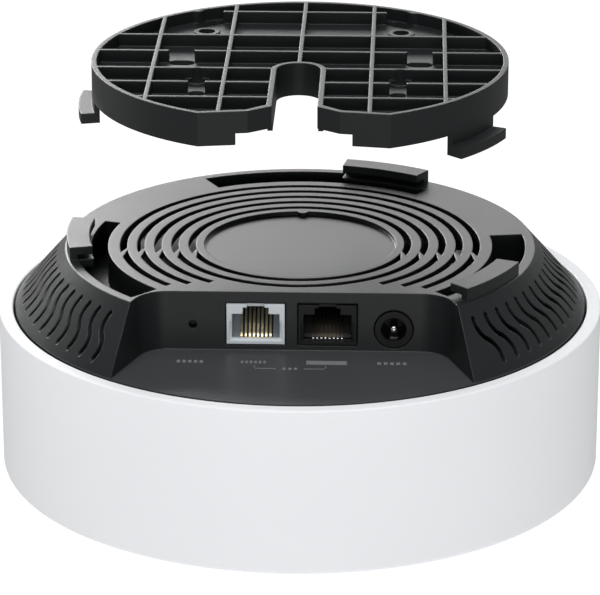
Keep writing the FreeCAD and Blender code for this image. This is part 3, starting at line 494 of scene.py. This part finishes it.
def frontCover(size):
    low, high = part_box("front_cover")
    radius, base, rim = high.x, low.z, high.z
    inner = radius - size["wall"]
    lipFoot = rim - size["lip"] - (size["rimWidth"] - size["wall"])
    section = roundedSection([
        (size["lightHole"], base, size["holeRound"]),
        (radius, base, size["bottomRound"]),
        (radius, rim, size["rimRound"]),
        (radius - size["rimWidth"], rim, size["rimRound"]),
        (radius - size["rimWidth"], rim - size["lip"], 0),
        (inner, lipFoot, 0),
        (inner, base + size["floor"], size["innerRound"]),
        (size["lightHole"], base + size["floor"], size["holeRound"]),
    ], size["cornerSteps"])
    piece = turnedMesh("drum_shell", section, size["segments"])
    finishPiece(piece, drumAbs, "access_point")
    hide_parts("front_cover")


frontCover(drumCover)
print("front cover turned")


# A prism is an outline drawn face on, pushed along an axis. Axis "y" outlines are (across, up),
# axis "x" outlines are (deep, up) and axis "z" outlines are (across, deep), all in millimetres.
def prismMesh(name, prisms, origin, crease=35):
    mesh = bpy.data.meshes.new(name)
    vertices, faces = [], []
    for outline, near, far, axis in prisms:
        first, count = len(vertices), len(outline)
        for level in (near, far):
            for a, b in outline:
                spot = {"x": (level, a, b), "y": (a, level, b), "z": (a, b, level)}[axis]
                vertices.append(tuple(origin[i] + spot[i] * mm for i in range(3)))
        faces.append(tuple(range(first, first + count)))
        faces.append(tuple(range(first + 2 * count - 1, first + count - 1, -1)))
        for index in range(count):
            after = (index + 1) % count
            faces.append((
                first + index, first + after, first + count + after, first + count + index,
            ))
    mesh.from_pydata(vertices, [], faces)
    return finishMesh(name, mesh, crease)


def oblong(left, low, right, high):
    return [(left, low), (right, low), (right, high), (left, high)]


jack = {
    "half": 7.15,
    "height": 10.3,
    "length": 16.0,
    "frameDeep": 1.1,
    "cavityHalf": 5.9,
    "cavityTop": 7.9,
    "floor": 1.0,
    "ledgeTop": 5.9,
    "ledgeHalf": 6.45,
    "sill": 0.75,
    "notchHalf": 3.2,
    "notchTop": 9.58,
    "catchHalf": 2.2,
    "cavityDeep": 13.5,
}

wire = {
    "count": 8,
    "pitch": 1.016,
    "width": 0.48,
    "thick": 0.32,
    # how each wire rises: (behind the face, above the jack's foot)
    "path": [
        (1.75, 1.08), (2.15, 1.3), (2.8, 2.25), (3.7, 3.6), (4.8, 5.0), (6.0, 6.2), (7.4, 7.0),
    ],
    "tipRadius": 0.24,
    "tipHalf": 0.2,
    "tipForward": 0.1,
    "tipTurn": 36,
    "tipCrease": 60,
    # painted shade: a thin dark strip beside each wire, just proud of the tongue
    "shadeWidth": 0.42,
    "shadeShift": 0.46,
    "shadeProud": 0.08,
    "shadeThick": 0.06,
    "tongueHalf": 5.85,
    "tongueThick": 0.9,
    "tongueDrop": 0.5,
}


# the network jack: an open-topped frame with side ledges, then a box-like tunnel behind it
def networkJack(node, nylon, tongueNylon, size):
    low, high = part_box(node)
    origin = ((low.x + high.x) / 2, low.y, low.z)
    half, top, deep = size["half"], size["height"], size["frameDeep"]
    frameOutline = [
        (half, 0), (half, top), (size["catchHalf"], top), (size["catchHalf"], size["notchTop"]),
        (size["notchHalf"], size["notchTop"]), (size["notchHalf"], size["cavityTop"]),
        (size["cavityHalf"], size["cavityTop"]), (size["cavityHalf"], size["ledgeTop"]),
        (size["ledgeHalf"], size["ledgeTop"]), (size["ledgeHalf"], size["sill"]),
    ]
    leftHalf = [(-a, b) for a, b in frameOutline]
    inner, notch = size["cavityHalf"], size["notchHalf"]
    prisms = [
        (leftHalf + frameOutline[::-1], 0, deep, "y"),
        (oblong(-half, 0, half, size["floor"]), deep, size["length"], "y"),
        (oblong(-half, size["floor"], -inner, top), deep, size["length"], "y"),
        (oblong(inner, size["floor"], half, top), deep, size["length"], "y"),
        (oblong(-inner, size["cavityTop"], -notch, top), deep, size["length"], "y"),
        (oblong(notch, size["cavityTop"], inner, top), deep, size["length"], "y"),
        (oblong(-notch, size["notchTop"], notch, top), deep, size["length"], "y"),
    ]
    shell = prismMesh(node + "_housing", prisms, origin)
    finishPiece(shell, nylon, "access_point")
    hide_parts(node)
    # a dark back wall closes the cavity: in the light jack its dark nylon is painted shade deep in
    # the cavity, in the dark jack it is the housing's own colour
    backWall = oblong(-inner, size["floor"], inner, size["notchTop"])
    backWallAndShade = prismMesh(
        node + "_liner", [(backWall, size["cavityDeep"], size["length"], "y")], origin,
    )
    finishPiece(backWallAndShade, darkNylon, "access_point")
    # the tongue behind the wires follows their rise
    drop = wire["tongueDrop"]
    upper = [(d + drop, u) for d, u in wire["path"]]
    under = [(d + drop + wire["tongueThick"], u) for d, u in reversed(wire["path"])]
    across = wire["tongueHalf"]
    tongue = prismMesh(node + "_tongue", [(upper + under, -across, across, "x")], origin)
    finishPiece(tongue, tongueNylon, "access_point")
    return origin


# one strip along the wires' path, between two places across the jack
def strip(centre, width, shift, thick):
    front = [(d + shift, u) for d, u in wire["path"]]
    back = [(d + shift + thick, u) for d, u in reversed(wire["path"])]
    return (front + back, centre - width / 2, centre + width / 2, "x")


def contactWires(node, plating, tipPlatingAndGlint, origin):
    places = [(index - (wire["count"] - 1) / 2) * wire["pitch"] for index in range(wire["count"])]
    wires = prismMesh(
        node + "_wires", [strip(x, wire["width"], 0, wire["thick"]) for x in places], origin,
    )
    finishPiece(wires, plating, "access_point")
    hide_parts(node)
    # painted shade: dark strips laid on the tongue beside each wire stand in for the shade between
    # the wires
    sunk = wire["tongueDrop"] - wire["shadeProud"]
    shadeStrips = prismMesh(node + "_slits", [
        strip(x + wire["shadeShift"], wire["shadeWidth"], sunk, wire["shadeThick"]) for x in places
    ], origin)
    finishPiece(shadeStrips, darkNylon, "access_point")
    deep, up = wire["path"][0]
    radius, middle, half = wire["tipRadius"], deep - wire["tipForward"], wire["tipHalf"]
    roundTip = [
        (middle + radius * math.cos(math.radians(turn)), up + radius * math.sin(math.radians(turn)))
        for turn in range(0, 360, wire["tipTurn"])
    ]
    tips = prismMesh(
        node + "_tips", [(roundTip, x - half, x + half, "x") for x in places],
        origin, wire["tipCrease"],
    )
    finishPiece(tips, tipPlatingAndGlint, "access_point")


lightOrigin = networkJack("light_jack", lightNylon, shadedNylon, jack)
contactWires("light_jack_contacts", goldFlash, goldFlash, lightOrigin)
darkOrigin = networkJack("dark_jack", darkNylon, darkNylon, jack)
# painted highlight: the dark jack's gold-flashed tips take the bright nickel so they show as
# glints, while its wires take the shaded gold
contactWires("dark_jack_contacts", shadedGold, nickelPlate, darkOrigin)
print("network jacks built")


# Generic printed marks on the recess floor: a short row of dots before each port, one solid
# bar, and a broken bracket line that ties the two network ports together. No lettering.
marks = {
    "thick": 0.02,
    "row": -45.5,
    "rowDeep": 1.7,
    "dotShare": 0.62,
    # how wide each row is, and how many dots it has
    "dotRows": {"reset_button": (7.0, 5), "light_jack": (6.6, 6), "power_jack_pin": (7.8, 5)},
    "barHalf": 5.0,
    "barDeep": 2.6,
    "lineRow": -49.9,
    "lineDeep": 0.5,
    "lineWide": 0.3,
    "lineRise": 2.4,
    "lineGap": 3.4,
    "gapDots": (-1.4, 0.0, 1.4),
    "gapDotHalf": 0.4,
    "gapDotBelow": 0.5,
    "gapDotAbove": 1.0,
}


# a node's middle across the object, in millimetres
def acrossOf(node):
    low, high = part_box(node)
    return (low.x + high.x) / 2 / mm


def dotRow(centre, width, count, size):
    step, half = width / count, size["rowDeep"] / 2
    starts = [centre - width / 2 + step * i for i in range(count)]
    ends = [centre - width / 2 + step * (i + size["dotShare"]) for i in range(count)]
    return [
        oblong(start, size["row"] - half, end, size["row"] + half)
        for start, end in zip(starts, ends)
    ]


def printedMarks(size):
    outlines = []
    for node, (width, count) in size["dotRows"].items():
        outlines += dotRow(acrossOf(node), width, count, size)
    lightAt, darkAt = acrossOf("light_jack"), acrossOf("dark_jack")
    row, barHalf, bar = size["row"], size["barHalf"], size["barDeep"] / 2
    outlines.append(oblong(darkAt - barHalf, row - bar, darkAt + barHalf, row + bar))
    line, foot, middle = size["lineDeep"], size["lineRow"], (lightAt + darkAt) / 2
    for near, far in ((lightAt, middle - size["lineGap"]), (middle + size["lineGap"], darkAt)):
        outlines.append(oblong(near, foot, far, foot + line))
    for x in (lightAt, darkAt - size["lineWide"]):
        outlines.append(oblong(x, foot, x + size["lineWide"], foot + size["lineRise"]))
    half, below, above = size["gapDotHalf"], size["gapDotBelow"], size["gapDotAbove"]
    for shift in size["gapDots"]:
        x = middle + shift
        outlines.append(oblong(x - half, foot - below, x + half, foot + above))
    prisms = [(outline, 0, size["thick"], "z") for outline in outlines]
    piece = prismMesh("recess_marks", prisms, (0.0, 0.0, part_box("front_cover")[1].z))
    finishPiece(piece, printedInk, "access_point")


printedMarks(marks)
print("marks printed")


studio = {
    "floorRadius": 6.0,
    "floorSides": 96,
    "floorDrop": 0.05 * mm,
    "floorColour": "#404040",
    "floorGlow": 1.05,
    "worldStrength": 0.25,
}


def makeFloor(size):
    mesh = bpy.data.meshes.new("studio_floor")
    shaper = bmesh.new()
    radius, sides = size["floorRadius"], size["floorSides"]
    bmesh.ops.create_circle(shaper, cap_ends=True, radius=radius, segments=sides)
    shaper.to_mesh(mesh)
    shaper.free()
    floor = bpy.data.objects.new("studio_floor", mesh)
    floor.location.z = cadBox[0].z - size["floorDrop"]
    bpy.context.scene.collection.objects.link(floor)
    material = startMaterial("matPaperFloor", {
        "Base Color": toLinear(size["floorColour"]),
        "Roughness": 0.9,
        "Specular IOR Level": 0.0,
        "Emission Color": (1.0, 1.0, 1.0, 1.0),
        "Emission Strength": size["floorGlow"],
    })[0]
    mesh.materials.append(material)
    floor.visible_glossy = False  # the dark plastic mirrors the dimmer studio, not the floor


def makeWorld(size):
    world = bpy.data.worlds.new("studioWorld")
    world.use_nodes = True
    background = world.node_tree.nodes["Background"]
    background.inputs["Color"].default_value = (1.0, 1.0, 1.0, 1.0)
    background.inputs["Strength"].default_value = size["worldStrength"]
    bpy.context.scene.world = world


softboxes = {
    # glow is each box's brightness beside plain white; one that doesn't fill only shows as sheen
    "overheadBox": {"at": (-0.05, -0.35, 1.3), "size": (0.9, 0.7), "glow": 7.5},
    "backBox": {"at": (0.0, 1.5, 0.6), "size": (2.2, 0.7), "glow": 2.6, "fills": False},
    "backLeftBox": {"at": (-0.75, 1.5, 0.6), "size": (1.0, 0.6), "glow": 12.5, "fills": False},
    "frontBox": {"at": (0.15, -1.9, -0.05), "size": (1.4, 0.8), "glow": 2.6},
    "leftBox": {"at": (-1.6, 0.5, 0.05), "size": (1.2, 0.9), "glow": 0.9},
}


def makeLights(boxes):
    target = (cadBox[0] + cadBox[1]) / 2
    for name, box in boxes.items():
        light = bpy.data.lights.new(name, "AREA")
        light.shape = "RECTANGLE"
        light.size, light.size_y = box["size"]
        light.energy = box["glow"] * math.pi * box["size"][0] * box["size"][1]
        lamp = bpy.data.objects.new(name, light)
        lamp.location = box["at"]
        lamp.rotation_mode = "QUATERNION"
        lamp.rotation_quaternion = (target - lamp.location).to_track_quat("-Z", "Y")
        lamp.visible_camera = False
        lamp.visible_diffuse = box.get("fills", True)
        bpy.context.scene.collection.objects.link(lamp)


view = {
    "from": (27.8 * mm, -838.4 * mm, 249.1 * mm),
    "at": (0.0, 0.0, -64.1 * mm),
    "lens": 209.2,
    "sensor": 36.0,
    "nearest": 0.05,
    "farthest": 40.0,
}


def makeCamera(setup):
    data = bpy.data.cameras.new("studioCamera")
    data.lens, data.sensor_width = setup["lens"], setup["sensor"]
    data.clip_start, data.clip_end = setup["nearest"], setup["farthest"]
    camera = bpy.data.objects.new("studioCamera", data)
    camera.location = setup["from"]
    aim = Vector(setup["at"]) - Vector(setup["from"])
    camera.rotation_mode = "QUATERNION"
    camera.rotation_quaternion = aim.to_track_quat("-Z", "Y")
    bpy.context.scene.collection.objects.link(camera)
    bpy.context.scene.camera = camera


makeFloor(studio)
makeWorld(studio)
makeLights(softboxes)
makeCamera(view)
bpy.context.scene.view_settings.view_transform = "Standard"
print("studio ready")
